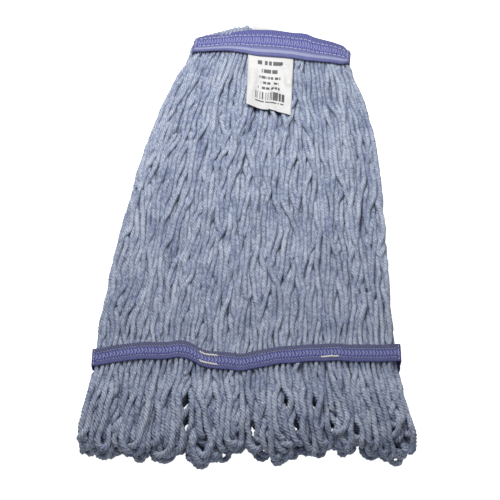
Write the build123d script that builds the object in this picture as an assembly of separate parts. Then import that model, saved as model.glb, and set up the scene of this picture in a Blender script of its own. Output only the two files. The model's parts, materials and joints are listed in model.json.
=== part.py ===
from build123d import *
import math
import os

# A looped-end wet-mop head, folded in half at its headband and lying on its rear half.
# Millimetres. +Z is up, +Y points from the looped ends to the folded head, X runs across.
# The origin is at the centre of the bounding box's bottom face.

# Overall sizes
overall_length = 440.0
fringe_spread = 285.0
fringe_length = 84.0

# Headband: two tapes with the yarn sewn between them, lying askew on the halves
headband_length = 152.0
headband_width = 32.0
headband_turn = 7.0
headband_offset = 23.0
headband_tape = 1.4
headband_yarn_thickness = 14.0
eye_height = 10.0
hem_width = 5.0
hem_height = 0.45

# Tailbands: a narrower tape pair on each half
tailband_length = 256.0
tailband_width = 15.0
tailband_tape = 0.9
tailband_yarn_thickness = 10.0
halves_gap = 0.6

# Yarn, drawn as locks of loops that lie side by side
lock_count = 13
lock_gap = 0.5
lock_corner = 1.6
fringe_thickness = 9.6
skirt_relief = 0.4

# Shoulder: the line below the headband where each half has nearly reached its full width
shoulder_width = 210.0
shoulder_distance = 90.0
shoulder_thickness = 13.0
shoulder_gap = 2.0

# Running clearance at every bend line between two bodies
bend_gap = 0.3

# Sewing thread, sunk flush into the tapes
thread_width = 1.0
thread_depth = 0.4
stitch_length = 4.0
stitch_pitch = 6.0
stitch_row_margin = 5.6
headband_row_share = 0.25
tailband_row_inset = 3.2
end_stitch_length = 2.5
end_stitch_inset = 2.6
bartack_length = 14.0
bartack_width = 1.6
upper_bartack_places = (-32.0,)
lower_bartack_places = (-32.0, 68.0)

# Label, sewn under the headband's face tape
label_width = 43.0
label_drop = 52.0
label_tail_length = 7.0
label_thickness = 0.5
label_offset = 0.5
label_clearance = 0.4
label_bend_gap = 3.0

# Heights of the stack at the head: rear yarn, eye, headband yarn, face tape
eye_radius = eye_height / 2
fold_radius = eye_radius + headband_yarn_thickness
headband_bottom = fold_radius + eye_radius
headband_top = headband_bottom + headband_yarn_thickness
headband_face = headband_top + headband_tape
label_bottom = headband_top + label_clearance
label_top = label_bottom + label_thickness

# Heights of the stack at the tail: rear band on the floor, gap, front band
band_stack = tailband_yarn_thickness + 2 * tailband_tape
front_band_bottom = band_stack + halves_gap
front_fringe_bottom = front_band_bottom + tailband_tape

# Lengths of the yarn rows between the tapes' folded ends
headband_row = headband_length - 2 * headband_tape
tailband_row = tailband_length - 2 * tailband_tape

# Places along Y
turn = math.radians(headband_turn)
fold_half_row = (headband_row - lock_gap) / 2
fold_y = overall_length / 2 - fold_half_row * math.sin(turn) - fold_radius * math.cos(turn)
fringe_end_y = -overall_length / 2
tailband_lower_y = fringe_end_y + fringe_length
tailband_y = tailband_lower_y + tailband_width / 2
tailband_upper_y = tailband_lower_y + tailband_width
fringe_start_y = tailband_lower_y - bend_gap

# The head's own frame: X along the headband, Y out of the fold, Z up from the floor
head_x = headband_offset + headband_width / 2 * math.sin(turn)
head_frame = Location((head_x, fold_y, 0), (0, 0, -headband_turn))
headband_y = -bend_gap - headband_width / 2
headband_lower_y = headband_y - headband_width / 2
front_start_y = headband_lower_y - bend_gap


def block(size_x, size_y, z_low, z_high, x=0.0, y=0.0):
    """A box of the given plan size between two heights."""
    return Pos(x, y, (z_low + z_high) / 2) * Box(size_x, size_y, z_high - z_low)


def share(total, index):
    """Centre and width of one lock in a row that fills the total width."""
    pitch = total / lock_count
    return (index + 0.5) * pitch - total / 2, pitch - lock_gap


def lock_section(plane, total, index, z_low, z_high):
    """Rounded section of one lock in an upright plane whose X runs along the row."""
    centre, width = share(total, index)
    section = RectangleRounded(width, z_high - z_low, lock_corner)
    return (plane * Pos(centre, (z_low + z_high) / 2) * section).face()


def skirt(start_y, head_low, head_high, shoulder_low, tail_low, tail_high):
    """The yarn of one half between its bands, spreading over the shoulder to the tailband."""
    head_place = head_frame * Pos(0, start_y, 0)
    shoulder_y = head_frame.position.Y + headband_lower_y - shoulder_distance
    share_left = (shoulder_y - tailband_upper_y) / (head_place.position.Y - tailband_upper_y)
    shoulder_place = Location(
        (head_place.position.X * share_left, shoulder_y, 0), (0, 0, -headband_turn * share_left)
    )
    head_plane = Plane(head_place * Rot(90, 0, 0))
    shoulder_plane = Plane(shoulder_place * Rot(90, 0, 0))
    tail_plane = Plane(Pos(0, tailband_upper_y, 0) * Rot(90, 0, 0))
    shoulder_high = shoulder_low + shoulder_thickness
    locks = []
    for index in range(lock_count):
        upper = lock_section(head_plane, headband_row, index, head_low, head_high)
        middle = lock_section(shoulder_plane, shoulder_width, index, shoulder_low, shoulder_high)
        lower = lock_section(tail_plane, tailband_row, index, tail_low, tail_high)
        locks.append(loft([upper, middle, lower], ruled=True))
    return Compound(locks)


def fringe(z_low):
    """Looped ends of one half: tongues that fan out from the tailband to round loops."""
    locks = []
    for index in range(lock_count):
        root, root_width = share(tailband_row, index)
        tip, tip_width = share(fringe_spread, index)
        left, right = tip - tip_width / 2, tip + tip_width / 2
        bend_y = fringe_end_y + tip_width / 2
        sides = Polyline(
            (left, bend_y),
            (root - root_width / 2, fringe_start_y),
            (root + root_width / 2, fringe_start_y),
            (right, bend_y),
        )
        loop_end = ThreePointArc((right, bend_y), (tip, fringe_end_y), (left, bend_y))
        outline = make_face(sides.edges() + loop_end.edges())
        locks.append(Pos(0, 0, z_low) * extrude(outline, fringe_thickness, dir=(0, 0, 1)))
    return Compound(locks)


def fold():
    """The yarn's bend from the headband's upper edge round the eye to the rear half."""
    ring = Circle(fold_radius) - Circle(eye_radius)
    outer_half = Pos(fold_radius / 2, 0) * Rectangle(fold_radius, 2 * fold_radius)
    stub = Rectangle(bend_gap, headband_yarn_thickness)
    stub_height = eye_radius + headband_yarn_thickness / 2
    upper_stub = Pos(-bend_gap / 2, stub_height) * stub
    lower_stub = Pos(-bend_gap / 2, -stub_height) * stub
    profile = (ring & outer_half) + upper_stub + lower_stub
    side_plane = Plane(origin=(0, 0, fold_radius), x_dir=(0, 1, 0), z_dir=(1, 0, 0))
    locks = []
    for index in range(lock_count):
        centre, width = share(headband_row, index)
        bend = extrude(side_plane * profile, width / 2, both=True)
        locks.append(head_frame * Pos(centre, 0, 0) * bend)
    return Compound(locks)


def stitch_row(band_length, y, z_low, z_high, kept_clear=()):
    """A straight row of stitches along a band, none of them under a bartack."""
    usable = band_length - 2 * stitch_row_margin - stitch_length
    count = int(usable // stitch_pitch) + 1
    reach = (bartack_length + stitch_length) / 2
    places = [(i - (count - 1) / 2) * stitch_pitch for i in range(count)]
    free = [x for x in places if all(abs(x - place) > reach for place in kept_clear)]
    return [block(stitch_length, thread_width, z_low, z_high, x, y) for x in free]


def end_rows(band_length, band_width, y, z_low, z_high):
    """Short stitches across the band that close each end of the tape."""
    spacing = 2 * end_stitch_length
    count = int((band_width - end_stitch_length) // spacing)
    end_x = band_length / 2 - end_stitch_inset
    return [
        block(thread_width, end_stitch_length, z_low, z_high, x, y + (i - (count - 1) / 2) * spacing)
        for x in (-end_x, end_x)
        for i in range(count)
    ]


def tape(band_length, band_width, y, plate_low, plate_high, ends_low, ends_high, thickness):
    """A flat tape whose two ends are folded round the yarn."""
    end_x = (band_length - thickness) / 2
    plate = block(band_length, band_width, plate_low, plate_high, 0, y)
    ends = [block(thickness, band_width, ends_low, ends_high, x, y) for x in (-end_x, end_x)]
    return plate + ends


def headband():
    """The headband: yarn, two tapes, hem, stitches and the label's sewn end."""
    inner_low = headband_bottom - headband_tape
    groove = headband_face - thread_depth
    core = block(headband_row, headband_width, headband_bottom, headband_top, 0, headband_y)
    inner = block(headband_length, headband_width, inner_low, headband_bottom, 0, headband_y)
    face = tape(
        headband_length, headband_width, headband_y,
        headband_top, headband_face, headband_bottom, headband_top, headband_tape,
    )
    tail_size = headband_y + headband_width / 2 + label_tail_length - headband_lower_y
    label_tail = block(
        label_width, tail_size, label_bottom, label_top, label_offset, headband_lower_y + tail_size / 2
    )
    passage = block(label_width, headband_width, headband_top, label_top, label_offset, headband_y)
    hem_y = headband_lower_y + hem_width / 2
    hem = block(headband_length, hem_width, headband_face - hem_height, headband_face, 0, hem_y)
    plain_width = headband_width - hem_width
    plain_y = headband_y + hem_width / 2
    row_reach = (0.5 - headband_row_share) * plain_width
    upper = stitch_row(headband_length, plain_y + row_reach, groove, headband_face)
    lower = stitch_row(headband_length, plain_y - row_reach, groove, headband_face)
    bobbin = [
        stitch
        for y in (plain_y + row_reach, plain_y - row_reach)
        for stitch in stitch_row(headband_length, y, inner_low, inner_low + thread_depth)
    ]
    across = end_rows(headband_length, plain_width, plain_y, groove, headband_face)
    pieces = {
        "headband_face_tape": [face - (upper + lower + across + [hem, passage])],
        "headband_inner_tape": [inner - bobbin],
        "headband_yarn": [core],
        "headband_hem": [hem],
        "headband_upper_stitches": upper,
        "headband_lower_stitches": lower,
        "headband_bobbin_stitches": bobbin,
        "headband_end_stitches": across,
        "label_tail": [label_tail],
    }
    return {name: head_frame * Compound(group) for name, group in pieces.items()}


def label_flap():
    """The free part of the label, which lies on the front half below the headband."""
    flap_y = front_start_y - label_bend_gap - label_drop / 2
    return head_frame * block(label_width, label_drop, label_bottom, label_top, label_offset, flap_y)


def tailband(side, bottom, face_up, bartacked):
    """One half's tailband: yarn, two tapes and stitches, with its face tape up or down."""
    yarn_low = bottom + tailband_tape
    yarn_high = yarn_low + tailband_yarn_thickness
    top = yarn_high + tailband_tape
    upper_plate, lower_plate = (yarn_high, top), (bottom, yarn_low)
    upper_thread, lower_thread = (top - thread_depth, top), (bottom, bottom + thread_depth)
    face_plate, inner_plate = (upper_plate, lower_plate) if face_up else (lower_plate, upper_plate)
    needle, bobbin_level = (upper_thread, lower_thread) if face_up else (lower_thread, upper_thread)
    core = block(tailband_row, tailband_width, yarn_low, yarn_high)
    face = tape(tailband_length, tailband_width, 0, *face_plate, yarn_low, yarn_high, tailband_tape)
    inner = block(tailband_length, tailband_width, *inner_plate)
    row_y = tailband_width / 2 - tailband_row_inset
    upper_places = upper_bartack_places if bartacked else ()
    lower_places = lower_bartack_places if bartacked else ()
    upper = stitch_row(tailband_length, row_y, *needle, upper_places)
    lower = stitch_row(tailband_length, -row_y, *needle, lower_places)
    bobbin = stitch_row(tailband_length, row_y, *bobbin_level)
    bobbin += stitch_row(tailband_length, -row_y, *bobbin_level)
    across = end_rows(tailband_length, tailband_width, 0, *needle)
    bartacks = [
        block(bartack_length, bartack_width, *needle, x, y)
        for y, places in ((row_y, upper_places), (-row_y, lower_places))
        for x in places
    ]
    pieces = {
        "yarn": [core],
        "face_tape": [face - (upper + lower + across + bartacks)],
        "inner_tape": [inner - bobbin],
        "upper_stitches": upper,
        "lower_stitches": lower,
        "bobbin_stitches": bobbin,
        "end_stitches": across,
    }
    if bartacked:
        pieces["bartacks"] = bartacks
    place = Pos(0, tailband_y, 0)
    return {f"{side}_tailband_{name}": place * Compound(group) for name, group in pieces.items()}


nodes = headband()
nodes["label_flap"] = label_flap()
nodes["yarn_fold"] = fold()
nodes["front_skirt_yarn"] = skirt(
    front_start_y,
    headband_bottom + skirt_relief,
    headband_top - skirt_relief,
    shoulder_thickness + shoulder_gap,
    front_band_bottom,
    front_band_bottom + band_stack,
)
nodes["rear_skirt_yarn"] = skirt(-bend_gap, 0, headband_yarn_thickness, 0, 0, band_stack)
nodes["front_fringe_yarn"] = fringe(front_fringe_bottom)
nodes["rear_fringe_yarn"] = fringe(0)
nodes.update(tailband("front", front_band_bottom, face_up=True, bartacked=True))
nodes.update(tailband("rear", 0, face_up=False, bartacked=False))

os.makedirs("parts", exist_ok=True)
for name, piece in nodes.items():
    export_step(piece, f"parts/{name}.step")
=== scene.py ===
import json
import math

import bpy
import numpy as np
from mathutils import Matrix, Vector


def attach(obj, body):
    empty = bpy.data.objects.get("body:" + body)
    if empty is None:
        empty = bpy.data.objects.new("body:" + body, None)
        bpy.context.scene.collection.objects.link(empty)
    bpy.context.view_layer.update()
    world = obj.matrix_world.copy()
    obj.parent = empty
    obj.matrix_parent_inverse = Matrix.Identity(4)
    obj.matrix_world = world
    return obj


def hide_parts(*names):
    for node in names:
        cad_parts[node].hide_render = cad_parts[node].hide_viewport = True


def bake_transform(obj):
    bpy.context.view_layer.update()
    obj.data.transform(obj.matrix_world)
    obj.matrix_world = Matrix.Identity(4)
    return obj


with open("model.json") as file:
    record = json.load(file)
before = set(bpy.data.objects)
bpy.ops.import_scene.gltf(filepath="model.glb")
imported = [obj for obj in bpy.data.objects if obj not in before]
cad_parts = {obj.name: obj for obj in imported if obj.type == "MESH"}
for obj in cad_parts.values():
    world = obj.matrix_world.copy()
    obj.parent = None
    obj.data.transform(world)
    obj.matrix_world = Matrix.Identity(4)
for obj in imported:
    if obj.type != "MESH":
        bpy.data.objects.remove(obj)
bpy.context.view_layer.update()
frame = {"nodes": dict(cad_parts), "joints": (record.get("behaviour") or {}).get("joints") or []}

mm = 0.001

# ---------------------------------------------------------------------------------------
# Studio: a glowing white table, a soft light above the headband that falls off towards
# the looped ends, and a camera that looks down from the loops.

floor_mesh = bpy.data.meshes.new("sweep")
floor_half = 3.0
floor_corners = [(x * floor_half, y * floor_half, 0) for x, y in ((-1, -1), (1, -1), (1, 1), (-1, 1))]
floor_mesh.from_pydata(floor_corners, [], [(0, 1, 2, 3)])
sweep = bpy.data.objects.new("sweep", floor_mesh)
bpy.context.scene.collection.objects.link(sweep)
paper = bpy.data.materials.new("sweep_paper")
paper.use_nodes = True
paper_shader = paper.node_tree.nodes["Principled BSDF"]
paper_shader.inputs["Base Color"].default_value = (0.94, 0.94, 0.94, 1)
paper_shader.inputs["Roughness"].default_value = 0.9
paper_shader.inputs["Emission Color"].default_value = (1, 1, 1, 1)
# The table looks white but throws little light, and is clear from underneath.
paper_ray = paper.node_tree.nodes.new("ShaderNodeLightPath")
paper_glow = paper.node_tree.nodes.new("ShaderNodeMapRange")
paper_glow.inputs["To Min"].default_value = 0.12
paper_glow.inputs["To Max"].default_value = 1.0
paper.node_tree.links.new(paper_ray.outputs["Is Camera Ray"], paper_glow.inputs["Value"])
paper.node_tree.links.new(paper_glow.outputs[0], paper_shader.inputs["Emission Strength"])
paper_side = paper.node_tree.nodes.new("ShaderNodeNewGeometry")
paper_front = paper.node_tree.nodes.new("ShaderNodeMath")
paper_front.operation = "SUBTRACT"
paper_front.inputs[0].default_value = 1.0
paper.node_tree.links.new(paper_side.outputs["Backfacing"], paper_front.inputs[1])
paper.node_tree.links.new(paper_front.outputs[0], paper_shader.inputs["Alpha"])
floor_mesh.materials.append(paper)

world = bpy.data.worlds.new("studio")
bpy.context.scene.world = world
world.use_nodes = True
world.node_tree.nodes["Background"].inputs["Color"].default_value = (0.97, 0.98, 1, 1)
world.node_tree.nodes["Background"].inputs["Strength"].default_value = 0.25
bpy.context.scene.view_settings.view_transform = "Standard"


def soft_light(name, place, target, size, power):
    """A square area light aimed at a point."""
    data = bpy.data.lights.new(name, "AREA")
    data.shape = "SQUARE"
    data.size = size
    data.energy = power
    lamp = bpy.data.objects.new(name, data)
    bpy.context.scene.collection.objects.link(lamp)
    lamp.location = place
    lamp.rotation_euler = (Vector(target) - Vector(place)).to_track_quat("-Z", "Y").to_euler()
    return lamp


soft_light("key_light", (-0.05, 0.17, 0.5), (0, 0.15, 0), 0.3, 2.75)

view_elevation = math.radians(62)
view_distance = 1.02
aim = Vector((0.0028, -0.020, 0))
camera_data = bpy.data.cameras.new("camera")
camera_data.lens = 82.6
camera_data.sensor_width = 36
camera = bpy.data.objects.new("camera", camera_data)
bpy.context.scene.collection.objects.link(camera)
towards = Vector((0, -math.cos(view_elevation), math.sin(view_elevation)))
camera.location = aim + view_distance * towards
camera.rotation_euler = (-towards).to_track_quat("-Z", "Y").to_euler()
bpy.context.scene.camera = camera

# ---------------------------------------------------------------------------------------
# How the head lies, in millimetres: the headband's own frame (X along the band, Y out of
# the fold), its sag and the pull of its fold towards both ends, and the tailbands' waves.

joints = {joint["name"]: joint for joint in frame["joints"]}
fold_axis = np.array(joints["rear_skirt_fold"]["axis"])
fold_point = np.array(joints["rear_skirt_fold"]["pos_m"]) / mm
fold_radius = fold_point[2]
outward = np.array([-fold_axis[1], fold_axis[0], 0])
head_axes = np.array([fold_axis, outward, [0, 0, 1]])
head_origin = np.array([fold_point[0], fold_point[1], 0])


def from_head(points):
    """Points of the headband's frame, in the row frame."""
    return np.asarray(points, float) @ head_axes + head_origin


def extent(node, axes=None, origin=(0, 0, 0)):
    """Lowest and highest corner of a CAD node in millimetres, along the given axes."""
    points = np.array([v.co for v in frame["nodes"][node].data.vertices]) / mm - np.array(origin)
    points = points @ (np.eye(3) if axes is None else np.asarray(axes).T)
    return points.min(0), points.max(0)


band_high = extent("headband_face_tape", head_axes, head_origin)[1]
core_low, core_high = extent("headband_yarn", head_axes, head_origin)
front_tail_low, front_tail_high = extent("front_tailband_yarn")
rear_tail_low, rear_tail_high = extent("rear_tailband_yarn")
fringe_low, fringe_high = extent("front_fringe_yarn")
band_half = core_high[0]
tail_half = front_tail_high[0]
tail_top, tail_foot = front_tail_high[1], front_tail_low[1]
loop_end = fringe_low[1]


def smooth(t):
    t = np.clip(t, 0, 1)
    return t * t * (3 - 2 * t)


def sag(x):
    """How far the top of the head has sunk at a place along the headband."""
    left = np.clip((-x - 18) / 56, 0, None)
    right = np.clip((x - 25) / 50, 0, None)
    return 10 * left**1.6 + 7 * right**1.8


def height_share(x):
    """The head's height there, as a share of its full height."""
    return 1 - sag(x) / band_high[2]


def fold_line(x):
    """How far the fold has pulled in behind its straight axis."""
    left = 11 * np.clip((-x - 25) / 50, 0, None) ** 1.3
    right = 11 * np.clip((x + 20) / 94, 0, None) ** 1.7
    return 2.4 * np.exp(-(((x + 35) / 15) ** 2)) - left - right


def lower_edge(x):
    """Y and Z of the face tape's lower edge."""
    y = -27.3 + 2.6 * smooth((-x - 8) / 35) + 1.8 * smooth((x - 30) / 30) + 3 * smooth((x - 66) / 9)
    return y, band_high[2] - 0.4 - 0.8 * sag(x)


def upper_edge(x):
    """Y and Z of the face tape's upper edge, which lies over the crest of the fold."""
    y = 4.6 - 0.00103 * (x - 14) ** 2 - 2.4 * smooth((x - 30) / 12) - 4 * smooth((x - 66) / 8)
    y = y - 2.0 * np.exp(-(((x + 42) / 20) ** 2))
    return y, band_high[2] - 2.6 - 1.25 * sag(x)


def face_height(x, y):
    """Height of the face tape's top over a point of the head's plan."""
    y0, z0 = lower_edge(x)
    y1, z1 = upper_edge(x)
    v = np.clip((y - y0) / (y1 - y0), 0, 1)
    return z0 + (z1 - z0) * v + 4 * v * (1 - v) * 1.7


# How far the front tailband strays along Y at places along it, smoothed over a few centimetres.
wave_x = [-140, -126, -98, -81, -66, -56, -48, -37, -22, -4, 10, 24, 45, 68, 100, 140]
wave_y = [-4.5, -4.2, 0.9, 2.4, 1.8, 4.3, 2.6, -4.7, -6.7, -8.4, -5.6, -2.4, -0.6, 0.7, -0.4, 0.6]
wave_fine = np.linspace(-145, 145, 581)
wave_window = np.hanning(25) / np.hanning(25).sum()
wave_soft = np.convolve(np.pad(np.interp(wave_fine, wave_x, wave_y), 12, mode="edge"), wave_window, "valid")


def tail_wave(x, half):
    """How far a tailband strays along Y from its straight line at x."""
    if half == "front":
        return np.interp(x, wave_fine, wave_soft)
    return 2.2 * np.sin(np.asarray(x) / 31 + 0.8)


# ---------------------------------------------------------------------------------------
# Yarn: eighty loops of soft 4-ply yarn in each half, laid side by side, sewn in at the
# bands and left loose between them.

random = np.random.default_rng(11)
passes = 160
head_layers, tail_layers = 4, 3
yarn_radius = 2.2
fringe_radius = 2.45
squeezed_radius = 1.75
swell_length = 25
point_gap = 4.4
ridge_share = 1.12
groove_share = 0.8


def wander(t, amount, first, last):
    """A smooth random sideways path along t from 0 to 1, zero at both ends."""
    waves = np.arange(first, last)
    sizes = random.normal(size=len(waves)) / np.sqrt(waves)
    return amount * (np.sin(np.pi * np.outer(t, waves)) @ sizes)


def seats(order, layers, half_row, z_low, z_high):
    """Where each pass crosses a band: side by side in columns, several layers high."""
    count = len(order)
    rank = np.empty(count, int)
    rank[order] = np.arange(count)
    column, columns = rank // layers, math.ceil(count / layers)
    layer = np.empty(count, int)
    for k in range(columns):
        members = np.where(column == k)[0]
        layer[members] = random.permutation(len(members))
    x = ((column + 0.5 + 0.25 * (layer % 2) - 0.12) / columns * 2 - 1) * half_row
    z = z_low + (layer + 0.5) / layers * (z_high - z_low)
    return x + random.normal(0, 0.3, count), z


# The yarn's left and right edges down the head, and the places where its loops part.
outline_y = [-230, -199, -165, -129, -94, -75, -36, 4, 45, 67, 89, 111, 134, 152, 176, 190]
outline_left = [-137, -135, -129, -129, -126, -121, -119, -112, -103, -98, -92, -85, -78, -70, -61, -58]
outline_right = [138, 136, 128, 126, 123, 122, 121, 122, 120, 118, 116, 112, 106, 101, 98, 98]
gap_places = np.array(
    [(-50, -171), (-49, -187), (5, -191), (32, -171), (40, -190), (55, -173), (69, -190), (88, -196)]
)
gap_sizes = np.array([3.2, 3.0, 2.6, 2.6, 2.8, 2.4, 2.4, 3.0])


def near_pairs(points, reach):
    """Pairs of points closer than reach, found on a grid of cells of that size."""
    cell = np.floor((points - points.min(0)) / reach).astype(np.int64) + 1
    ny, nz = cell[:, 1].max() + 2, cell[:, 2].max() + 2
    key = (cell[:, 0] * ny + cell[:, 1]) * nz + cell[:, 2]
    order = np.argsort(key, kind="stable")
    keys = key[order]
    own = np.arange(len(points))
    found = []
    for dx, dy in ((0, 0), (0, 1), (1, -1), (1, 0), (1, 1)):
        at = keys + (dx * ny + dy) * nz
        start = own + 1 if dx == dy == 0 else np.searchsorted(keys, at - 1)
        end = np.searchsorted(keys, at + 1, side="right")
        count = np.maximum(end - start, 0)
        first = np.repeat(own, count)
        run_start = np.repeat(np.cumsum(count) - count, count)
        second = np.repeat(start, count) + np.arange(count.sum()) - run_start
        a, b = order[first], order[second]
        apart = points[a] - points[b]
        close = np.einsum("ij,ij->i", apart, apart) < reach * reach
        found.append(np.stack([a[close], b[close]]))
    return np.concatenate(found, 1)


pair_reach = 6.8
kept_speed = 0.85
bend_limit = 0.92
bend_stiffness = 0.4
edge_pull = 0.35
eye_radius = 3.2
floor_clearance = 1.2
settle_weight = 0.035
settle_tether = 0.015


def settle(points, strand, held, radius, length, home, rounds, weight, tether):
    """Lets the strands come to rest: each is held to its length and pushed out of the others,
    the floor, the eye and the tape, and a weak tether keeps it near its lay."""
    count = len(points)
    before = points.copy()
    free = (~held).astype(float)[:, None]
    links = np.where(strand[1:] == strand[:-1])[0]
    links = [links[links % 2 == k] for k in (0, 1)]
    bends = np.where(strand[2:] == strand[:-2])[0]
    bends = [bends[(bends // 2) % 2 == k] for k in (0, 1)]
    for turn in range(rounds):
        if turn % 8 == 0:
            a, b = near_pairs(points, pair_reach)
            apart = (strand[a] != strand[b]) | (np.abs(a - b) > 3)
            a, b = a[apart], b[apart]
            gap = radius[a] + radius[b]
        drift = (points - before) * kept_speed
        drift[:, 2] -= weight
        drift[:, :2] += (home - points)[:, :2] * tether
        before = points.copy()
        points = points + drift * free
        for group in links:
            d = points[group + 1] - points[group]
            size = np.sqrt(np.einsum("ij,ij->i", d, d)) + 1e-9
            share = free[group] + free[group + 1] + 1e-9
            pull = ((size - length[group]) / size)[:, None] / share * d
            points[group] += pull * free[group]
            points[group + 1] -= pull * free[group + 1]
        for group in bends:
            d = points[group + 2] - points[group]
            size = np.sqrt(np.einsum("ij,ij->i", d, d)) + 1e-9
            want = np.maximum(size, bend_limit * (length[group] + length[group + 1]))
            share = free[group] + free[group + 2] + 1e-9
            pull = (bend_stiffness * (size - want) / size)[:, None] / share * d
            points[group] += pull * free[group]
            points[group + 2] -= pull * free[group + 2]
        for _ in range(2):
            d = points[a] - points[b]
            size2 = np.einsum("ij,ij->i", d, d)
            hit = size2 < gap * gap
            size = np.sqrt(size2[hit]) + 1e-9
            push = ((gap[hit] - size) / size * 0.5)[:, None] * d[hit]
            times = np.bincount(a[hit], minlength=count) + np.bincount(b[hit], minlength=count)
            forward = [np.bincount(a[hit], push[:, k], count) for k in range(3)]
            backward = [np.bincount(b[hit], push[:, k], count) for k in range(3)]
            shift = np.stack(forward, 1) - np.stack(backward, 1)
            points += shift * (1.5 / np.maximum(times, 1.5))[:, None] * free
        local = (points - head_origin) @ head_axes.T
        middle_z = fold_radius * height_share(local[:, 0])
        away = np.stack([local[:, 1] - fold_line(local[:, 0]), local[:, 2] - middle_z], 1)
        reach = np.sqrt((away**2).sum(1)) + 1e-9
        inside = np.where((reach < eye_radius + radius) & (free[:, 0] > 0))[0]
        away[inside] *= ((eye_radius + radius[inside]) / reach[inside])[:, None]
        local[inside, 1] = fold_line(local[inside, 0]) + away[inside, 0]
        local[inside, 2] = middle_z[inside] + away[inside, 1]
        x, y = local[:, 0], local[:, 1]
        under_tape = (y > lower_edge(x)[0] - 1) & (y < upper_edge(x)[0] + 1) & (np.abs(x) < 76)
        covered = under_tape & (local[:, 2] > middle_z)
        under = face_height(x, y) - 1.6 - radius
        local[covered, 2] = np.minimum(local[covered, 2], under[covered])
        moved = free[:, 0] > 0
        points[moved] = local[moved] @ head_axes + head_origin
        edge = np.clip(
            points[:, 0],
            np.interp(points[:, 1], outline_y, outline_left) + radius,
            np.interp(points[:, 1], outline_y, outline_right) - radius,
        )
        points[moved, 0] += edge_pull * (edge - points[:, 0])[moved]
        for place, size in zip(gap_places, gap_sizes):
            near = np.where((np.abs(points[:, :2] - place) < 8).all(1) & moved)[0]
            off = points[near, :2] - place
            far = np.sqrt((off**2).sum(1)) + 1e-9
            out = np.maximum(size + radius[near] - far, 0) / far
            points[near, :2] += off * out[:, None]
        low = (points[:, 2] < floor_clearance * radius) & moved
        points[low, 2] = floor_clearance * radius[low]
    return points


def even(path, gap):
    """A path cut into equal steps of about one gap."""
    lengths = np.append(0, np.cumsum(np.sqrt((np.diff(path, axis=0) ** 2).sum(1))))
    steps = max(int(round(lengths[-1] / gap)), 8)
    at = np.linspace(0, lengths[-1], steps + 1)
    return np.stack([np.interp(at, lengths, path[:, k]) for k in range(3)], 1)


def skirt_line(t, start, end):
    """From a headband seat to a tailband seat: spreading quickly at the shoulder."""
    spread = 1 - (1 - t) ** 2.35 - 0.10 * np.sin(np.pi * t) ** 2 * smooth((t - 0.35) / 0.3)
    half_width = band_half + (tail_half - band_half) * spread
    middle = start[3] * (1 - t)
    f = start[4] + (end[0] / tail_half - start[4]) * smooth(t)
    x = middle + f * half_width
    y = start[1] + (end[1] - start[1]) * t
    z = start[2] + (end[2] - start[2]) * t
    return np.stack([x, y, z], 1)


lines, line_radius, line_held, line_group, line_cut = [], [], [], [], []
fine_t = np.linspace(0, 1, 90)


def add_line(path, group, hold_first, hold_last, squeeze_first, squeeze_last, cut=0.0):
    """Queues one strand: held where it is sewn in, and squeezed thinner near there."""
    path = even(path, point_gap)
    run = np.append(0, np.cumsum(np.sqrt((np.diff(path, axis=0) ** 2).sum(1))))
    eased = np.ones(len(path))
    if squeeze_first:
        eased = np.minimum(eased, smooth((run - squeeze_first) / swell_length))
    if squeeze_last:
        eased = np.minimum(eased, smooth((run[-1] - run - squeeze_last) / swell_length))
    held = (run <= hold_first) | (run >= run[-1] - hold_last)
    lines.append(path)
    full = fringe_radius if "fringe" in group else yarn_radius
    line_radius.append(squeezed_radius + (full - squeezed_radius) * eased)
    line_held.append(held)
    line_group.append(group)
    line_cut.append(cut)


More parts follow.
